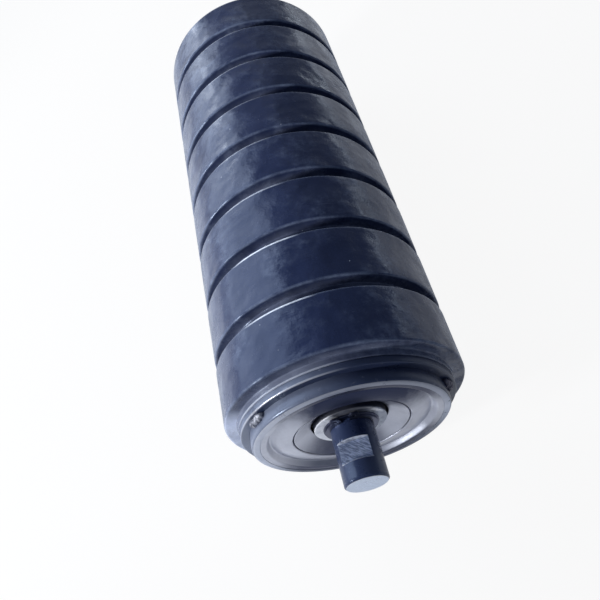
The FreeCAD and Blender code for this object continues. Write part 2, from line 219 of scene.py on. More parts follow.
# A colour: a where the share is 0, b where it is 1.
def blendColour(tree, share, a, b):
    return addNode(tree, "ShaderNodeMix", {0: share, 6: a, 7: b}, data_type="RGBA").outputs[2]


# x, y and z of a place.
def parts(tree, place):
    return addNode(tree, "ShaderNodeSeparateXYZ", {0: place}).outputs


# Distance of a point from the roller axis: the root of x squared plus z squared.
def fromAxis(tree, place):
    x, y, z = parts(tree, place)
    return math2(tree, "SQRT", add(tree, times(tree, x, x), times(tree, z, z)))


# Distance of a point from the plane across the middle of the roller.
def fromMiddle(tree, place):
    return math2(tree, "ABSOLUTE", parts(tree, place)[1])


# One side of the roller: 0 to most as the cosine between the direction from the axis and an angle about
# it, with a blur added, goes from low to high. side is (angle in degrees, low, high, most).
def onSide(tree, place, side, blur=0.0):
    degrees, low, high, most = side
    x, y, z = parts(tree, place)
    lean = math.radians(degrees)
    toward = add(tree, times(tree, x, math.cos(lean)), times(tree, z, math.sin(lean)))
    toward = math2(tree, "DIVIDE", toward, fromAxis(tree, place))
    return span(tree, add(tree, toward, blur), low, high, 0, most, True)


fleckCore = 0.55  # part of a fleck's radius that is fully light


# Flecks: the middle of each cell of a Voronoi pattern, kept where the cell's own chance is high.
def flecks(tree, place, scale, size, keepAbove):
    cell = addNode(tree, "ShaderNodeTexVoronoi", {"Vector": place, "Scale": scale}).outputs
    dot = span(tree, cell["Distance"], size, size * fleckCore)
    chance = parts(tree, cell["Color"])[0]
    return times(tree, dot, math2(tree, "GREATER_THAN", chance, keepAbove))


# Tilts the shading by a height of 0 to 1 that stands for a distance in metres.
def bump(tree, shader, height, distance, strength):
    node = addNode(tree, "ShaderNodeBump", {"Height": height, "Distance": distance, "Strength": strength})
    tree.links.new(node.outputs[0], shader.inputs["Normal"])


# In the looks below, a Noise is (cells per metre, detail, roughness), a Range is (low, high) and, where it
# doesn't go from 0 to 1, the values there, and a Side is what onSide takes. Lengths are in metres.

blueGloss = (0.68, 0.80, 1.0, 1)  # tint of the gloss on rubber and navy paint

# The lip colour is a painted highlight; the dust colours on one side of the ends and treads also carry
# painted light.
rubberLook = {
    "deep": (0.013, 0.021, 0.062, 1), "worn": (0.024, 0.035, 0.090, 1), "chalk": (0.20, 0.24, 0.34, 1),
    "fleck": (0.62, 0.64, 0.70, 1), "lip": (0.80, 0.84, 0.92, 1), "dust": (0.36, 0.39, 0.49, 1),
    "wallDustAndLight": (0.70, 0.76, 0.94, 1), "toneNoise": (70, 6, 0.6),
    "fineNoise": (210, 6, 0.66), "fineRange": (0.42, 0.64), "coarseNoise": (34, 5, 0.62),
    "coarseRange": (0.44, 0.66), "smudgeShare": 0.32,
    "pitch": 0.0415, "edgeRange": (0.0154, 0.0166), "edgeRadiusRange": (0.0682, 0.0695),
    "edgeNoise": (90, 6, 0.7), "edgeWearAndHighlightRange": (0.34, 0.66, 0.06, 0.80),
    "lipAt": 0.0159, "lipRange": (0.0007, 0.0003), "lipSide": (98.0, 0.945, 0.985, 1.0),
    "lipFadeRange": (-0.03, -0.08, 0.25, 1.0), "lipToneRange": (0.30, 0.55, 0.45, 1.0),
    "collarHighlightRange": (0.1652, 0.1656), "collarHighlightSide": (116.0, 0.72, 0.97, 0.7),
    "grooveRange": (0.0690, 0.0630), "grooveDustRange": (0.3, 0.7, 0.07, 0.30),
    "collarRange": (0.0634, 0.0628), "collarLitSide": (125.0, 0.55, 0.95, 0.58),
    "wallRange": (0.0628, 0.0634), "wallLitSide": (168.0, 0.84, 0.985, 0.90), "endRange": (0.1612, 0.1621),
    "treadRange": (0.0670, 0.0690), "treadLitSide": (150.0, 0.90, 0.995, 0.22),
    "dustToneRange": (0.25, 0.6, 0.5, 1.0),
    "lineNoise": (40, 3, 0.6), "lineStretch": (1.2, 24, 1.2), "lineRange": (0.60, 0.70),
    "scratchNoise": (34, 4, 0.6), "scratchRange": (0.52, 0.64), "scratchShare": 0.34,
    "flecks": (150, 0.055, 0.93), "specular": 0.36, "sheen": 0.85, "sheenRough": 0.26,
    "sheenTint": (0.86, 0.91, 1.0, 1), "roughNoise": (75, 7, 0.72), "roughRange": (0.36, 0.64, 0.14, 0.33),
    "waveNoise": (34, 2, 0.45), "waveHeight": 0.0040, "waveStrength": 0.8, "grainNoise": (900, 4, 0.6),
    "grain": 0.020, "lineBump": 0.8, "dentNoise": (150, 3, 0.55), "dent": 0.09,
}


# Navy black rubber: two deep tones mixed by noise, chalky smudges where a fine and a coarse noise are
# both high, worn tread edges that are also a painted highlight, painted highlight lines on one side of the
# lips and of the collar edge, dust in the grooves, dust with painted light on one side of the end collar,
# the end wall and the treads, short scratches round the ring and a few light flecks.
# Gloss varies in patches. The bump adds long waves, small dents, grain and faint lines round the ring.
def rubberFinish():
    look = rubberLook
    material, tree, place, shader = newFinish("ringRubber")
    y, radius, out = parts(tree, place)[1], fromAxis(tree, place), fromMiddle(tree, place)
    tone = noise(tree, place, *look["toneNoise"])
    colour = blendColour(tree, tone, look["deep"], look["worn"])
    fine = span(tree, noise(tree, place, *look["fineNoise"]), *look["fineRange"])
    coarse = span(tree, noise(tree, place, *look["coarseNoise"]), *look["coarseRange"], smooth=True)
    colour = blendColour(tree, times(tree, fine, coarse, look["smudgeShare"]), colour, look["chalk"])
    along = addNode(tree, "ShaderNodeMath", {0: y, 1: look["pitch"], 2: 0.0}, operation="WRAP").outputs[0]
    middle = look["pitch"] / 2
    # the tread edges: wear painted light, which also stands in for a highlight
    edge = times(tree, span(tree, awayFrom(tree, along, middle), *look["edgeRange"]),
                 span(tree, radius, *look["edgeRadiusRange"]),
                 span(tree, noise(tree, place, *look["edgeNoise"]), *look["edgeWearAndHighlightRange"]))
    colour = blendColour(tree, edge, colour, look["chalk"])
    # painted highlight: light lines on the lips on one side, strongest on the front rings
    lip = times(tree, span(tree, awayFrom(tree, along, middle + look["lipAt"]), *look["lipRange"]),
                onSide(tree, place, look["lipSide"]), span(tree, y, *look["lipFadeRange"]),
                span(tree, tone, *look["lipToneRange"]))
    colour = blendColour(tree, lip, colour, look["lip"])
    # painted highlight: a light line on one side of the collar edge
    collarHighlight = times(tree, span(tree, out, *look["collarHighlightRange"]),
                      onSide(tree, place, look["collarHighlightSide"]))
    colour = blendColour(tree, collarHighlight, colour, look["lip"])
    grooveDust = times(tree, span(tree, radius, *look["grooveRange"]),
                       span(tree, tone, *look["grooveDustRange"]))
    onEnd = span(tree, out, *look["endRange"])
    # dust with painted light on one side of the end collar and the end wall
    endDustAndLight = blendValue(tree, span(tree, radius, *look["collarRange"]),
                         onSide(tree, place, look["wallLitSide"]), onSide(tree, place, look["collarLitSide"]))
    # dust with painted light on one side of the treads
    treadDustAndLight = times(tree, span(tree, radius, *look["treadRange"]), onSide(tree, place, look["treadLitSide"]))
    sideDustAndLight = times(tree, larger(tree, times(tree, onEnd, endDustAndLight), treadDustAndLight),
                     span(tree, tone, *look["dustToneRange"]))
    # the end wall takes a light-blue tone of painted light
    onWall = times(tree, onEnd, span(tree, radius, *look["wallRange"]))
    dustTone = blendColour(tree, onWall, look["dust"], look["wallDustAndLight"])
    colour = blendColour(tree, larger(tree, grooveDust, sideDustAndLight), colour, dustTone)
    lines = noise(tree, place, *look["lineNoise"], stretch=look["lineStretch"])
    scratch = times(tree, span(tree, lines, *look["lineRange"]),
                    span(tree, noise(tree, place, *look["scratchNoise"]), *look["scratchRange"]),
                    look["scratchShare"])
    colour = blendColour(tree, scratch, colour, look["chalk"])
    colour = blendColour(tree, flecks(tree, place, *look["flecks"]), colour, look["fleck"])
    rough = span(tree, noise(tree, place, *look["roughNoise"]), *look["roughRange"])
    wire(tree, shader, Base_Color=colour, Roughness=rough, Specular_IOR_Level=look["specular"],
         Specular_Tint=blueGloss, Sheen_Weight=look["sheen"], Sheen_Roughness=look["sheenRough"],
         Sheen_Tint=look["sheenTint"])
    grain = add(tree, noise(tree, place, *look["grainNoise"]), times(tree, lines, look["lineBump"]))
    height = add(tree, noise(tree, place, *look["waveNoise"]), times(tree, grain, look["grain"]))
    height = add(tree, height, times(tree, noise(tree, place, *look["dentNoise"]), look["dent"]))
    bump(tree, shader, height, look["waveHeight"], look["waveStrength"])
    return material


paintLook = {
    "deep": (0.010, 0.017, 0.048, 1), "light": (0.042, 0.056, 0.110, 1), "bare": (0.62, 0.63, 0.69, 1),
    "dust": (0.26, 0.29, 0.38, 1), "fleck": (0.60, 0.62, 0.70, 1), "toneNoise": (55, 6, 0.6),
    "scuffNoise": (180, 6, 0.7), "scuffRange": (0.60, 0.78), "scuffShare": 0.35,
    "cutRange": (0.2, 0.6, 0.60, 1.0), "cutShadeSide": (58.0, 0.40, 0.95, 0.55),
    "cutLowShadeSide": (262.0, 0.15, 0.75, 0.95), "edgeInset": (0.0009, 0.0004),
    "highlightSide": (118.0, 0.70, 0.97, 0.85), "dustSide": (146.0, 0.20, 0.98, 0.68),
    "faceInset": (0.0006, 0.0001), "faceDustAndLightSide": (162.0, 0.80, 0.985, 0.75),
    "dustToneRange": (0.25, 0.6, 0.55, 1.0), "flecks": (190, 0.06, 0.95), "metallic": 0.7,
    "roughRange": (0.3, 0.7, 0.24, 0.42), "peelNoise": (420, 5, 0.6), "peelHeight": 0.00015,
    "peelStrength": 0.5,
}


# Dark satin paint on steel: two navy tones, small bare scuffs, dust with painted light on one side, light
# flecks and an orange-peel bump. Past bareFrom the cut end is bare metal, with painted shade on two sides.
# The last argument is the radius and the distance from the middle of a corner with a painted highlight on
# one side, whose end face has less of the dust and painted light.
def paintFinish(name, bareFrom=None, highlightedEdge=None):
    look = paintLook
    material, tree, place, shader = newFinish(name)
    out = fromMiddle(tree, place)
    tone = noise(tree, place, *look["toneNoise"])
    colour = blendColour(tree, tone, look["deep"], look["light"])
    scuff = span(tree, noise(tree, place, *look["scuffNoise"]), *look["scuffRange"])
    metal = times(tree, scuff, look["scuffShare"])
    # dust with painted light on one side
    dust = onSide(tree, place, look["dustSide"])
    if bareFrom:
        cut = times(tree, math2(tree, "GREATER_THAN", out, bareFrom), span(tree, tone, *look["cutRange"]))
        # painted shade on two sides of the bare cut end
        cutShade = larger(tree, onSide(tree, place, look["cutShadeSide"]), onSide(tree, place, look["cutLowShadeSide"]))
        metal = larger(tree, metal, math2(tree, "SUBTRACT", cut, times(tree, cut, cutShade)))
    if highlightedEdge:
        rim, face = highlightedEdge
        # painted highlight: bare, metallic colour on one side of the corner
        edge = times(tree, span(tree, fromAxis(tree, place), *[rim - a for a in look["edgeInset"]]),
                     span(tree, out, *[face - a for a in look["edgeInset"]]),
                     onSide(tree, place, look["highlightSide"]))
        metal = larger(tree, metal, edge)
        # on the end face the dust with painted light lies on a narrower side
        onFace = span(tree, out, *[face - a for a in look["faceInset"]])
        dust = blendValue(tree, onFace, dust, onSide(tree, place, look["faceDustAndLightSide"]))
    dust = times(tree, dust, span(tree, tone, *look["dustToneRange"]))
    colour = blendColour(tree, dust, colour, look["dust"])
    colour = blendColour(tree, metal, colour, look["bare"])
    colour = blendColour(tree, flecks(tree, place, *look["flecks"]), colour, look["fleck"])
    wire(tree, shader, Base_Color=colour, Metallic=times(tree, metal, look["metallic"]),
         Specular_Tint=blueGloss, Roughness=span(tree, tone, *look["roughRange"]))
    bump(tree, shader, noise(tree, place, *look["peelNoise"]), look["peelHeight"], look["peelStrength"])
    return material


# The darkest tone here, and the sides and lip range it lies on, are painted shade.
pressedLook = {
    "deep": (0.46, 0.48, 0.56, 1), "light": (0.66, 0.68, 0.76, 1), "smear": (0.17, 0.175, 0.215, 1),
    "paintedShade": (0.024, 0.032, 0.076, 1), "lineScale": 900.0, "lineDetail": 5.0, "lineRough": 0.7,
    "cloudNoise": (75, 6, 0.62), "cloudRange": (0.3, 0.7), "smearNoise": (28, 5, 0.6),
    "smearRange": (0.56, 0.78), "smearShare": 0.55, "blurRange": (0.2, 0.8, -0.16, 0.16),
    "upperShadeSide": (66.0, 0.34, 0.86, 0.99), "housingShadeSide": (246.0, 0.52, 1.0, 0.48),
    "capShadeSide": (246.0, 0.32, 1.0, 0.88), "lipRange": (0.0482, 0.0490), "lipSide": (262.0, 0.15, 0.75, 0.93),
    "metallic": 0.85, "anisotropic": 0.4, "roughRange": (0.3, 0.7, 0.30, 0.44),
    "grainNoise": (500, 4, 0.6), "grainHeight": 0.00006, "grainStrength": 0.6,
}


# Pressed sheet with a thin grey-violet coat: smears darken it, and a dark tone of painted shade lies on one
# side, on the side given and, outside the dish, along the bottom of the lip, all blurred by the cloud noise.
# The bump is drawn lines, noise of the distance from the axis, with a fine grain.
def pressedFinish(name, lowerShadeSide):
    look = pressedLook
    material, tree, place, shader = newFinish(name)
    radius = fromAxis(tree, place)
    lines = addNode(tree, "ShaderNodeTexNoise", {
        "W": radius, "Scale": look["lineScale"], "Detail": look["lineDetail"],
        "Roughness": look["lineRough"]}, noise_dimensions="1D").outputs["Fac"]
    cloud = noise(tree, place, *look["cloudNoise"])
    colour = blendColour(tree, span(tree, cloud, *look["cloudRange"]), look["deep"], look["light"])
    smear = span(tree, noise(tree, place, *look["smearNoise"]), *look["smearRange"], smooth=True)
    colour = blendColour(tree, times(tree, smear, look["smearShare"]), colour, look["smear"])
    blur = span(tree, cloud, *look["blurRange"])
    # painted shade on the upper side and on the lower side given
    paintedShade = add(tree, onSide(tree, place, look["upperShadeSide"], blur), onSide(tree, place, lowerShadeSide, blur))
    # painted shade along the bottom of the lip
    lip = times(tree, span(tree, radius, *look["lipRange"]), onSide(tree, place, look["lipSide"], blur))
    colour = blendColour(tree, larger(tree, paintedShade, lip), colour, look["paintedShade"])
    tangent = addNode(tree, "ShaderNodeTangent", {}, direction_type="UV_MAP", uv_map="around").outputs[0]
    wire(tree, shader, Base_Color=colour, Metallic=look["metallic"], Anisotropic=look["anisotropic"],
         Tangent=tangent, Roughness=span(tree, cloud, *look["roughRange"]))
    height = add(tree, lines, noise(tree, place, *look["grainNoise"]))
    bump(tree, shader, height, look["grainHeight"], look["grainStrength"])
    return material


# The darkest tone here and the side it lies on are painted shade.
plasticLook = {
    "pale": (0.86, 0.87, 0.91, 1), "soiled": (0.55, 0.56, 0.61, 1), "dark": (0.012, 0.014, 0.024, 1),
    "darkDust": (0.05, 0.055, 0.07, 1), "shadeTone": (0.016, 0.018, 0.032, 1),
    "dirtNoise": (160, 7, 0.65), "dirtRange": (0.46, 0.72), "wallDepth": 0.0006, "wallShare": 0.96,
    "ringShadeSide": (72.0, 0.50, 0.90, 0.9), "blurRange": (0, 1, -0.1, 0.1),
    "roughRange": (0, 1, 0.42, 0.62), "grainNoise": (1500, 3, 0.5), "grainHeight": 0.00004,
    "grainStrength": 0.5,
}


# Moulded plastic: a clean and a soiled tone mixed by noise, with a fine moulded grain. Nearer to the
# middle than the last argument, inside the hub, and on one side it has a dark tone of painted shade.
def plasticFinish(name, clean, soiled, shadedWallFrom=None):
    look = plasticLook
    material, tree, place, shader = newFinish(name)
    dirt = span(tree, noise(tree, place, *look["dirtNoise"]), *look["dirtRange"], smooth=True)
    colour = blendColour(tree, dirt, look[clean], look[soiled])
    if shadedWallFrom:
        # painted shade on the inner wall of the hub
        deep = shadedWallFrom - look["wallDepth"]
        shadedWall = span(tree, fromMiddle(tree, place), shadedWallFrom, deep, 0, look["wallShare"])
        colour = blendColour(tree, shadedWall, colour, look["shadeTone"])
        # painted shade on one side, blurred by the dirt noise
        smear = onSide(tree, place, look["ringShadeSide"], span(tree, dirt, *look["blurRange"]))
        colour = blendColour(tree, smear, colour, look["shadeTone"])
    wire(tree, shader, Base_Color=colour, Roughness=span(tree, dirt, *look["roughRange"]))
    bump(tree, shader, noise(tree, place, *look["grainNoise"]), look["grainHeight"], look["grainStrength"])
    return material


steelLook = {
    "bright": (0.62, 0.63, 0.66, 1), "dull": (0.40, 0.41, 0.45, 1), "oil": (0.10, 0.095, 0.09, 1),
    "springBlack": (0.050, 0.058, 0.095, 1), "springBlue": (0.13, 0.145, 0.22, 1),
    "lineNoise": (30, 4, 0.6), "lineStretch": (1, 40, 1), "lineRange": (0.3, 0.7),
    "stainNoise": (90, 6, 0.65), "stainRange": (0.58, 0.80), "stainShare": 0.5, "roughSpread": 0.16,
    "lineHeight": 0.00003, "lineStrength": 0.5,
}


# Ground steel: two tones in lines round the axis, with thin oily stains; the lines are also the bump.
def steelFinish(name, rough, dull="dull", bright="bright"):
    look = steelLook
    material, tree, place, shader = newFinish(name)
    lines = noise(tree, place, *look["lineNoise"], stretch=look["lineStretch"])
    stain = span(tree, noise(tree, place, *look["stainNoise"]), *look["stainRange"])
    colour = blendColour(tree, lines, look[dull], look[bright])
    colour = blendColour(tree, times(tree, stain, look["stainShare"]), colour, look["oil"])
    wire(tree, shader, Base_Color=colour, Metallic=1.0,
         Roughness=span(tree, lines, *look["lineRange"], rough, rough + look["roughSpread"]))
    bump(tree, shader, lines, look["lineHeight"], look["lineStrength"])
    return material


# The darkest tone here, on the side given, is painted shade.
weldLook = {
    "scale": (0.045, 0.052, 0.085, 1), "metal": (0.50, 0.51, 0.57, 1), "spatter": (0.86, 0.87, 0.91, 1),
    "shadeSideTone": (0.030, 0.026, 0.062, 1), "blotchNoise": (260, 6, 0.7), "blotchRange": (0.40, 0.66),
    "spatterFlecks": (420, 0.30, 0.55), "weldShadeSide": (6.0, 0.60, 0.90, 0.86), "metallic": 0.5,
    "roughRange": (0, 1, 0.62, 0.36), "lumpNoise": (520, 5, 0.65), "lumpHeight": 0.0006,
    "lumpStrength": 0.8,
}


# Weld bead: dark scale and metal in blotches, bright spatter, painted shade on one side, and a lumpy bump.
def weldFinish():
    look = weldLook
    material, tree, place, shader = newFinish("weldMetal")
    blotch = span(tree, noise(tree, place, *look["blotchNoise"]), *look["blotchRange"])
    colour = blendColour(tree, blotch, look["scale"], look["metal"])
    colour = blendColour(tree, flecks(tree, place, *look["spatterFlecks"]), colour, look["spatter"])
    # painted shade: a dark tone on one side of the beads
    colour = blendColour(tree, onSide(tree, place, look["weldShadeSide"]), colour, look["shadeSideTone"])
    wire(tree, shader, Base_Color=colour, Metallic=times(tree, blotch, look["metallic"]),
         Roughness=span(tree, blotch, *look["roughRange"]))
    bump(tree, shader, noise(tree, place, *look["lumpNoise"]), look["lumpHeight"], look["lumpStrength"])
    return material


# The worn tone is the lips of the flats: wear that is also a painted highlight.
shaftLook = {
    "deep": (0.016, 0.026, 0.072, 1), "light": (0.036, 0.052, 0.120, 1), "bare": (0.74, 0.76, 0.80, 1),
    "milled": (0.52, 0.60, 0.80, 1), "milledDark": (0.15, 0.19, 0.31, 1), "worn": (0.70, 0.72, 0.78, 1),
    "toneNoise": (80, 6, 0.6), "markTurn": 38.0, "markNoise": (420, 4, 0.65),
    "markStretch": (0.5, 3.4, 0.5), "markRange": (0.40, 0.62),
    "flatHeights": (0.00897, 0.00902), "flatEnds": (0.1851, 0.1969), "lipEnds": (0.1852, 0.1968),
    "lipRange": (0.00045, 0.0002), "lipHeightRange": (0.0086, 0.0090), "lipNoise": (300, 4, 0.6),
    "lipWearAndHighlightRange": (0.30, 0.55, 0.25, 1.0), "endFrom": 0.20735, "flatMetal": 0.4, "metallic": 0.9,
    "specular": 0.7, "roughRange": (0.3, 0.7, 0.20, 0.36), "grainNoise": (700, 4, 0.6), "grain": 0.4,
    "bumpHeight": 0.00022, "bumpStrength": 0.6,
}


# Painted shaft: two navy tones; the sawn end faces are bare steel; the flats show diagonal cutter marks,
# which are also in the bump, and both their ends have a worn lip, painted light also as a highlight.
def shaftFinish():
    look = shaftLook
    material, tree, place, shader = newFinish("shaftPaint")
    out, height = fromMiddle(tree, place), math2(tree, "ABSOLUTE", parts(tree, place)[2])
    tone = noise(tree, place, *look["toneNoise"])
    colour = blendColour(tree, tone, look["deep"], look["light"])
    slant = addNode(tree, "ShaderNodeMapping", {
        "Vector": place, "Rotation": (0, 0, math.radians(look["markTurn"]))}).outputs[0]
    marks = noise(tree, slant, *look["markNoise"], stretch=look["markStretch"])
    onFlat = times(tree, within(tree, height, *look["flatHeights"]), within(tree, out, *look["flatEnds"]))
    cutter = blendColour(tree, span(tree, marks, *look["markRange"]), look["milledDark"], look["milled"])
    colour = blendColour(tree, onFlat, colour, cutter)
    # the worn lips at the ends of the flats, painted light also as a highlight line
    near, far = [span(tree, awayFrom(tree, out, end), *look["lipRange"]) for end in look["lipEnds"]]
    lip = times(tree, larger(tree, near, far), span(tree, height, *look["lipHeightRange"]),
                span(tree, noise(tree, place, *look["lipNoise"]), *look["lipWearAndHighlightRange"]))
    colour = blendColour(tree, lip, colour, look["worn"])
    onEnd = math2(tree, "GREATER_THAN", out, look["endFrom"])
    colour = blendColour(tree, onEnd, colour, look["bare"])
    bare = larger(tree, onEnd, times(tree, onFlat, look["flatMetal"]))
    wire(tree, shader, Base_Color=colour, Metallic=times(tree, bare, look["metallic"]),
         Specular_IOR_Level=look["specular"], Specular_Tint=blueGloss,
         Roughness=span(tree, tone, *look["roughRange"]))
    grain = times(tree, noise(tree, place, *look["grainNoise"]), look["grain"])
    bump(tree, shader, add(tree, grain, times(tree, marks, onFlat)), look["bumpHeight"], look["bumpStrength"])
    return material


ringRubber = rubberFinish()
tubePaint = paintFinish("tubePaint", bareFrom=0.17715)
keeperPaint = paintFinish("keeperPaint", highlightedEdge=(0.0620, 0.1700))
# the housing and the cap get painted shade on their lower sides
housingCoat = pressedFinish("housingCoat", pressedLook["housingShadeSide"])
capCoat = pressedFinish("capCoat", pressedLook["capShadeSide"])
palePlastic = plasticFinish("palePlastic", "pale", "soiled", shadedWallFrom=0.1727)
darkPlastic = plasticFinish("darkPlastic", "dark", "darkDust")
bearingSteel = steelFinish("bearingSteel", rough=0.18)
cageSteel = steelFinish("cageSteel", rough=0.34)
clipSteel = steelFinish("clipSteel", rough=0.26, dull="springBlack", bright="springBlue")
weldMetal = weldFinish()
shaftPaint = shaftFinish()
print("finishes made")


# rubber rings

ringShape = {
    "count": 8, "pitch": 41.5, "bore": 57.1, "collar": 62.5, "tread": 70.0, "treadWidth": 34.0,
    "treadRound": 1.2, "footRound": 0.9, "collarRound": 0.6, "step": 1.6, "columns": 288,
    "wave": 0.05, "sideways": 0.08,
}


# The outline of one ring about its own middle, moved to its place. On the tread, radius changes by
# wave * (sin 3t + 0.6 sin(7t + y / 9) - 1.6), always inwards, and y by sideways * (sin 2t + 0.5 sin 5t),
# with phases that differ from ring to ring.
def makeRing(number):
    s = ringShape
    middle = (number - (s["count"] + 1) / 2) * s["pitch"]
    half, tread = s["pitch"] / 2, s["treadWidth"] / 2
    outline = roundedOutline([
        (s["bore"], -half, 0), (s["collar"], -half, s["collarRound"]), (s["collar"], -tread, s["footRound"]),
        (s["tread"], -tread, s["treadRound"]), (s["tread"], tread, s["treadRound"]),
        (s["collar"], tread, s["footRound"]), (s["collar"], half, s["collarRound"]),
        (s["bore"], half, 0)], s["step"])
    outline[:, 1] += middle

    def unevenness(t, radius, along):
        onTread = np.clip((radius - s["collar"]) / (s["tread"] - s["collar"]), 0, 1)
        wave = np.sin(3 * t + number) + 0.6 * np.sin(7 * t + 2.3 * number + along / 9)
        lean = np.sin(2 * t + 1.7 * number) + 0.5 * np.sin(5 * t + 0.9 * number)
        return s["wave"] * onTread * (wave - 1.6), s["sideways"] * onTread * lean

    ring = turnedPiece("ring%dRubber" % number, outline, s["columns"], unevenness)
    fit(ring, "roller", "ring_rubber", ringRubber, "rubber_ring_%d" % number)


for number in range(1, ringShape["count"] + 1):
    makeRing(number)
print("rubber rings made")


# tube and retaining rings

tubeShape = {"bore": 52.5, "outside": 57.0, "boreEdge": 0.2, "edge": 2.0, "step": 3.0, "columns": 256}


# The tube turned from a rectangle in (radius, y) with rounded corners.
def makeTube():
    s = tubeShape
    outline = roundedOutline([
        (s["bore"], -tubeEnd, s["boreEdge"]), (s["outside"], -tubeEnd, s["edge"]),
        (s["outside"], tubeEnd, s["edge"]), (s["bore"], tubeEnd, s["boreEdge"])], s["step"])
    fit(turnedPiece("shellTube", outline, s["columns"]), "roller", "tube_paint", tubePaint, "shell_tube")


keeperShape = {  # near and far: depths of its two faces below the tube end
    "inside": 57.1, "outside": 62.0, "near": 7.5, "far": 11.5, "edge": 0.6, "step": 0.8, "columns": 256,
}


# A retaining ring turned from a rectangle in (radius, y) with its outer corners rounded.
def makeKeeper(end):
    s, sign = keeperShape, ends[end]
    near, far = sign * (tubeEnd - s["near"]), sign * (tubeEnd - s["far"])
    outline = roundedOutline([
        (s["inside"], near, 0), (s["outside"], near, s["edge"]),
        (s["outside"], far, s["edge"]), (s["inside"], far, 0)], s["step"])
    piece = turnedPiece(end + "RetainingRing", outline, s["columns"])
    fit(piece, "roller", "keeper_paint", keeperPaint, end + "_retaining_ring")


# tack welds

weldShape = {  # lumps: share of the thickness, waves along u, waves round v, share of the bead's number
    "angles": (134.0, 4.0, -126.0), "halfLength": 7.4, "radius": 57.9, "depth": 6.6, "thick": 2.75,
    "fullness": 0.9, "lumps": ((0.05, 21, 0, 1), (0.09, 7, 2, 1), (0.06, 13, -3, 0)), "endDrop": 0.25,
    "rows": 72, "columns": 28, "sharpAngle": 60,
}


# A bead is a tube of lumpy thickness bent round the axis: with u from -1 to 1 along it and v round it,
# the thickness is thick * sqrt(1 - |u| cubed) * (fullness + lumps of u and v).
def makeWelds(end):
    s, sign = weldShape, ends[end]
    u = np.linspace(-1, 1, s["rows"])[:, None]
    v = np.arange(s["columns"])[None, :] * (fullTurn / s["columns"])
    quads, uv = gridQuads(s["rows"], s["columns"], False, True)
    if sign > 0:  # the rear beads are mirrored, so their faces are turned round
        quads, uv = quads[:, ::-1], uv.reshape(-1, 4, 2)[:, ::-1].reshape(-1, 2)
    beads = []
    for number, degrees in enumerate(s["angles"]):
        middle = math.radians(degrees if end == "front" else 180 - degrees)
        lumps = sum(a * np.sin(b * u + c * v + d * number) for a, b, c, d in s["lumps"])
        thick = s["thick"] * np.sqrt(np.clip(1 - np.abs(u) ** 3, 0, 1)) * (s["fullness"] + lumps)
        t = middle + u * s["halfLength"] / s["radius"] + 0 * v
        radius = s["radius"] + thick * np.cos(v) - s["endDrop"] * u ** 2
        along = sign * (tubeEnd - s["depth"]) + sign * thick * np.sin(v)
        beads.append(np.stack((radius * np.cos(t), along, radius * np.sin(t)), -1).reshape(-1, 3))
    allQuads = np.concatenate([quads + number * len(bead) for number, bead in enumerate(beads)])
    piece = meshPiece(end + "TackWelds", np.concatenate(beads), allQuads, np.tile(uv, (len(beads), 1)),
                      s["sharpAngle"], mergePoles=True)
    fit(piece, "roller", "weld_metal", weldMetal, end + "_tack_welds")


makeTube()
for end in ends:
    makeKeeper(end)
    makeWelds(end)
print("tube, retaining rings and welds made")


# hubs: corners are (radius, depth below the tube end, rounding)

dishShape = {"from": 34.3, "to": 46.6, "top": 1.3, "fall": 3.0, "points": 9}


# The housing's dish between its two ends: depth = top + fall * ((r - from) / (to - from)) squared.
def dishCorners():
    s = dishShape
    share = np.linspace(0, 1, s["points"])[1:-1]
    return [(s["from"] + (s["to"] - s["from"]) * a, s["top"] + s["fall"] * a * a, 0) for a in share]


hubShape = {
    "housing": [
        (52.45, 0.2, 0.15), (52.45, 14.6, 0.4), (48.95, 14.6, 0.4), (48.95, 6.9, 1.2), (37.1, 6.9, 1.2),
        (37.1, 36.6, 0.8), (27.0, 36.6, 0.4), (27.0, 33.6, 0.2), (31.05, 33.6, 0.2), (31.05, 14.6, 0.2),
        (33.9, 14.6, 0.2), (33.9, 1.9, 0.2), (34.3, 1.3, 0.25), *dishCorners(), (46.6, 4.3, 0.9),
        (48.85, 0.45, 1.2)],
    "dustCap": [
        (33.2, 1.62, 0.3), (33.4, 3.2, 0.3), (33.85, 3.6, 0.2), (33.85, 12.6, 0.3), (32.35, 12.6, 0.3),
        (32.35, 2.8, 0.5), (22.5, 9.0, 0.3), (22.5, 7.5, 0.4)],
    "innerLabyrinth": [
        (12.55, 4.5, 0.3), (21.0, 4.5, 0.5), (21.0, 11.6, 0.2), (19.5, 11.6, 0.2), (19.5, 9.5, 0.2),
        (16.0, 9.5, 0.2), (16.0, 16.6, 0.2), (12.55, 16.6, 0.2)],
    "thrustWasher": [(12.55, 3.5, 0.15), (16.0, 3.5, 0.2), (16.0, 4.5, 0.15), (12.55, 4.5, 0.15)],
    "step": 1.2, "columns": 240, "sharpAngle": 40,
}


# A piece of a hub turned from its corners; a depth d lies at y = tubeEnd - d, or its negative in front.
def makeHubPiece(end, label, corners, body, slotName, material, node):
    s, sign = hubShape, ends[end]
    outline = roundedOutline([(r, sign * (tubeEnd - d), c) for r, d, c in s[corners]], s["step"])
    piece = turnedPiece(end + label, outline, s["columns"], sharpAngle=s["sharpAngle"])
    fit(piece, body, slotName, material, end + node)


for end in ends:
    makeHubPiece(end, "BearingHousing", "housing", "roller", "housing_paint", housingCoat, "_bearing_housing")
    makeHubPiece(end, "DustCap", "dustCap", "roller", "housing_paint", capCoat, "_dust_cap")
    makeHubPiece(end, "InnerLabyrinth", "innerLabyrinth", "shaft", "pale_plastic", palePlastic,
                 "_inner_labyrinth")
    makeHubPiece(end, "ThrustWasher", "thrustWasher", "shaft", "circlip_steel", clipSteel, "_thrust_washer")
print("hubs made")


# bearing balls

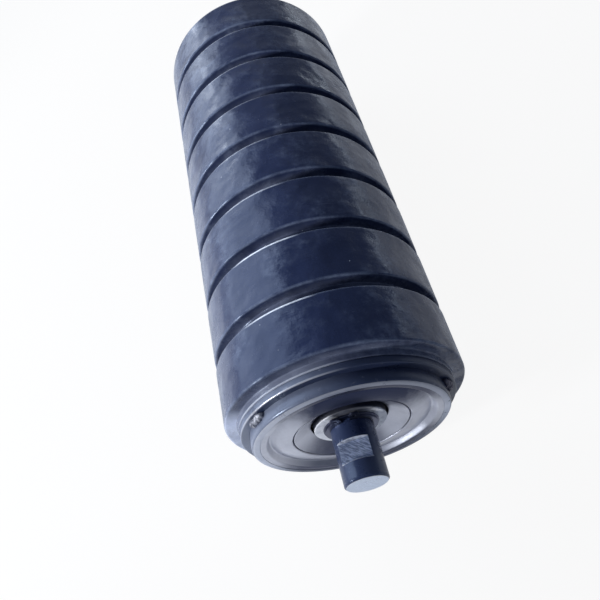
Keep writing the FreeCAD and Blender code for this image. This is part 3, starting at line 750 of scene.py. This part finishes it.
ballShape = {
    "count": 7, "radius": 5.75, "pitch": 21.75, "depth": 25.1, "firstAngle": 90.0, "rows": 33, "columns": 48,
}


# The balls of one bearing: with v from pole to pole and u round, a point lies at its ball's middle plus
# radius * (sin v cos u, -cos v, sin v sin u); the middles are evenly spaced on the pitch circle.
def makeBalls(end):
    s, sign = ballShape, ends[end]
    v = np.linspace(0, np.pi, s["rows"])[:, None]
    u = np.arange(s["columns"])[None, :] * (fullTurn / s["columns"])
    ball = np.stack((np.sin(v) * np.cos(u), -np.cos(v) + 0 * u, np.sin(v) * np.sin(u)), -1)
    ball = s["radius"] * ball.reshape(-1, 3)
    t = np.arange(s["count"]) * (fullTurn / s["count"]) + math.radians(s["firstAngle"])
    y = sign * (tubeEnd - s["depth"]) + 0 * t
    middles = np.stack((s["pitch"] * np.cos(t), y, s["pitch"] * np.sin(t)), -1)
    quads, uv = gridQuads(s["rows"], s["columns"], False, True)
    allQuads = (np.arange(s["count"])[:, None, None] * len(ball) + quads).reshape(-1, 4)
    points = (middles[:, None, :] + ball).reshape(-1, 3)
    piece = meshPiece(end + "BearingBalls", points, allQuads, np.tile(uv, (s["count"], 1)), mergePoles=True)
    fit(piece, end + "_cage", "bearing_steel", bearingSteel, end + "_balls")


for end in ends:
    makeBalls(end)
print("bearing balls made")


# shaft

shaftShape = {  # flats and grooves: distances from the end face
    "radius": 12.5, "middle": 15.5, "end": 207.5, "chamfer": 1.0, "soft": 0.1, "endRing": 5.0,
    "flatHeight": 9.0, "flatFrom": 10.5, "flatTo": 22.5, "flatRamp": 0.5, "flatRows": 12, "landRows": 9,
    "grooveFrom": 32.2, "grooveTo": 33.5, "groove": 11.95, "shoulder": 63.6, "shoulderChamfer": 0.5,
    "plainHalf": 20.0, "columns": 240, "firstColumn": 0.003, "sharpAngle": 30,
}


# Rows along the shaft give a radius R; in a flat the point at angle t has the radius
# min(R, height / |sin t|), which is a plane. The flat's own corner angles are among the columns.
def makeShaft():
    s = shaftShape
    r, c, soft, ramp, bevel = s["radius"], s["chamfer"], s["soft"], s["flatRamp"], s["shoulderChamfer"]
    rows = [(0.0, a, 0) for a in (0.0, s["endRing"], r - c - 5 * soft, r - c - soft)]  # depth, R, in a flat
    rows += [(soft, r - c + 0.5 * soft, 0), (c - soft, r - 0.8 * soft, 0), (c + 1.5 * soft, r, 0)]
    rows += [(a, r, 0) for a in np.linspace(c + 1, s["flatFrom"], s["landRows"])]
    rows += [(a, r, 1) for a in np.linspace(s["flatFrom"] + ramp, s["flatTo"] - ramp, s["flatRows"])]
    rows += [(a, r, 0) for a in np.linspace(s["flatTo"], s["grooveFrom"] - soft, s["landRows"])]
    rows += [(s["grooveFrom"], r - 0.8 * soft, 0), (s["grooveFrom"], s["groove"], 0)]
    rows += [(s["grooveTo"], s["groove"], 0), (s["grooveTo"], r, 0), (s["shoulder"], r, 0)]
    rows += [(s["shoulder"], s["middle"] - bevel, 0), (s["shoulder"] + bevel, s["middle"], 0)]
    rows += [(s["end"] - s["plainHalf"], s["middle"], 0)]
    front = np.array(rows, float)
    front[:, 0] -= s["end"]
    rows = np.concatenate((front, front[::-1] * (-1, 1, 1)))
    corner = math.asin(s["flatHeight"] / r)
    corners = np.array([corner, np.pi - corner, np.pi + corner, fullTurn - corner])
    columns = np.arange(s["columns"]) * (fullTurn / s["columns"]) + s["firstColumn"]
    t = np.sort(np.concatenate((columns, corners)))
    plane = s["flatHeight"] / np.maximum(np.abs(np.sin(t)), 1e-3)  # never divided by 0
    radius = np.repeat(rows[:, 1:2], len(t), 1)
    radius = np.where(rows[:, 2:3] > 0, np.minimum(radius, plane[None, :]), radius)
    along = np.repeat(rows[:, :1], len(t), 1)
    points = np.stack((radius * np.cos(t), along, radius * np.sin(t)), -1).reshape(-1, 3)
    quads, uv = gridQuads(len(rows), len(t), False, True)
    piece = meshPiece("turnedShaft", points, quads, uv, s["sharpAngle"], mergePoles=True)
    fit(piece, "shaft", "shaft_paint", shaftPaint, "shaft")


makeShaft()
print("shaft made")


# nodes that keep their own solids

keptFinish = {
    "outer_race": bearingSteel, "inner_race": bearingSteel, "ball_cage": cageSteel,
    "outer_labyrinth": darkPlastic, "circlip": clipSteel,
}


# Gives a node's own mesh a finish and leaves its shape as it is.
def dressNode(name, material):
    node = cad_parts[name]
    if not node.material_slots:
        node.data.materials.append(material)
    for slotOfNode in node.material_slots:
        slotOfNode.material = material


for end in ends:
    for kind, material in keptFinish.items():
        dressNode(end + "_" + kind, material)
print("kept nodes dressed")


# floor, light and camera: lengths in metres

floorLook = {
    "height": -0.0703, "size": 14.0, "points": 5, "tone": (0.80, 0.805, 0.82, 1),
    "stain": (0.77, 0.775, 0.79, 1), "stainNoise": (3, 3), "rough": 0.9, "specular": 0.1,
    "veil": 0.92, "mirrored": 0.42,
}
plainWhite = {"Color": (1, 1, 1, 1), "Strength": 1.0}


# Covers a surface with plain white: by the share veil for rays from the camera and by the share mirrored
# for rays off gloss or through glass.
def whiten(tree, surface, whiteKind, outputName, veil, mirrored):
    rays = addNode(tree, "ShaderNodeLightPath", {}).outputs
    bounced = larger(tree, rays["Is Glossy Ray"], rays["Is Transmission Ray"])
    share = larger(tree, times(tree, rays["Is Camera Ray"], veil), times(tree, bounced, mirrored))
    white = addNode(tree, whiteKind, plainWhite).outputs[0]
    mix = addNode(tree, "ShaderNodeMixShader", {0: share, 1: surface.outputs[0], 2: white})
    tree.links.new(mix.outputs[0], tree.nodes[outputName].inputs["Surface"])


# A flat square at one height, mostly plain white to the camera; the rest of it is lit and takes shadow.
def makeFloor():
    s = floorLook
    edge = np.linspace(-s["size"] / 2, s["size"] / 2, s["points"]) / mm
    x, y = np.meshgrid(edge, edge, indexing="ij")
    points = np.stack((x, y, np.full_like(x, s["height"] / mm)), -1).reshape(-1, 3)
    quads, uv = gridQuads(s["points"], s["points"], False, False)
    floor = meshPiece("floor", points, quads, uv)
    material, tree, place, shader = newFinish("floorPale")
    tone = blendColour(tree, noise(tree, place, *s["stainNoise"]), s["tone"], s["stain"])
    wire(tree, shader, Base_Color=tone, Roughness=s["rough"], Specular_IOR_Level=s["specular"])
    whiten(tree, shader, "ShaderNodeEmission", "Material Output", s["veil"], s["mirrored"])
    floor.data.materials.append(material)


panels = {  # back: level direction the panel's back faces; the panel stands upright
    "windowPanel": {"place": (-0.919, 0.772, 1.00), "back": (-0.766, 0.643, 0.0),
                    "size": (1.5, 1.8), "power": 23.5, "tint": (0.78, 0.87, 1.0)},
    "backGlint": {"place": (-0.846, 1.465, 0.616), "back": (-0.5, 0.866, 0.0),
                  "size": (0.10, 0.12), "power": 0.60, "tint": (0.92, 0.96, 1.0)},
    "lowStrip": {"place": (1.34, 1.20, 0.06), "back": (0.743, 0.669, 0.0),
                 "size": (1.3, 0.05), "power": 1.7, "tint": (0.84, 0.92, 1.0)},
}


# Puts a lamp or a camera at a place, with the columns of turn as its own x, y and z.
def standAt(name, data, place, turn):
    holder = bpy.data.objects.new(name, data)
    holder.matrix_world = Matrix.Translation(place) @ turn.to_4x4()
    bpy.context.scene.collection.objects.link(holder)
    return holder


# Upright lamps: across is level and square to back, and upright is square to both.
def makePanels():
    for name, s in panels.items():
        lamp = bpy.data.lights.new(name, "AREA")
        lamp.shape, lamp.energy, lamp.color = "RECTANGLE", s["power"], s["tint"]
        lamp.size, lamp.size_y = s["size"]
        back = Vector(s["back"]).normalized()
        across = Vector((0, 0, 1)).cross(back).normalized()
        standAt(name, lamp, s["place"], Matrix((across, back.cross(across), back)).transposed())


keyLook = {
    "place": (-1.30, -0.62, 0.62), "aim": (-0.12, 0.17, -0.07), "cone": 34.0, "blend": 0.20,
    "radius": 0.14, "power": 108.0, "tint": (0.96, 0.98, 1.0),
}


# A soft spot from the left that looks from its place to its aim.
def makeKey():
    s = keyLook
    lamp = bpy.data.lights.new("keySpot", "SPOT")
    lamp.energy, lamp.color, lamp.shadow_soft_size = s["power"], s["tint"], s["radius"]
    lamp.spot_size, lamp.spot_blend = math.radians(s["cone"]), s["blend"]
    ahead = Vector(s["aim"]) - Vector(s["place"])
    standAt("keySpot", lamp, s["place"], ahead.to_track_quat("-Z", "Y").to_matrix())


worldLook = {"tone": (0.44, 0.55, 0.80, 1), "strength": 0.22, "veil": 1.0, "mirrored": 0.10}


# A dim blue-grey sky that lights the object, plain white to the camera.
def makeWorld():
    s = worldLook
    world = bpy.data.worlds.new("studio")
    world.use_nodes = True
    tree = world.node_tree
    sky = tree.nodes["Background"]
    wire(tree, sky, Color=s["tone"], Strength=s["strength"])
    whiten(tree, sky, "ShaderNodeBackground", "World Output", s["veil"], s["mirrored"])
    bpy.context.scene.world = world


cameraView = {
    "place": (0.05393, -0.30272, 0.31418), "right": (0.92012, -0.20477, -0.33383),
    "up": (0.35502, 0.79600, 0.49025), "ahead": (-0.16534, 0.56960, -0.80512), "lens": 35.92,
    "sensor": 36.0, "clip": (0.01, 50.0),
}


# The camera's own x is right, its y is up and its z points backwards.
def makeCamera():
    s = cameraView
    eye = bpy.data.cameras.new("camera")
    eye.sensor_fit, eye.lens = "HORIZONTAL", s["lens"]
    eye.sensor_width = eye.sensor_height = s["sensor"]
    eye.clip_start, eye.clip_end = s["clip"]
    turn = Matrix((s["right"], s["up"], [-a for a in s["ahead"]])).transposed()
    bpy.context.scene.camera = standAt("camera", eye, s["place"], turn.to_quaternion().to_matrix())


makeFloor()
makePanels()
makeKey()
makeWorld()
makeCamera()
bpy.context.scene.view_settings.view_transform = "Standard"
print("floor, light and camera made")

bpy.context.view_layer.update()
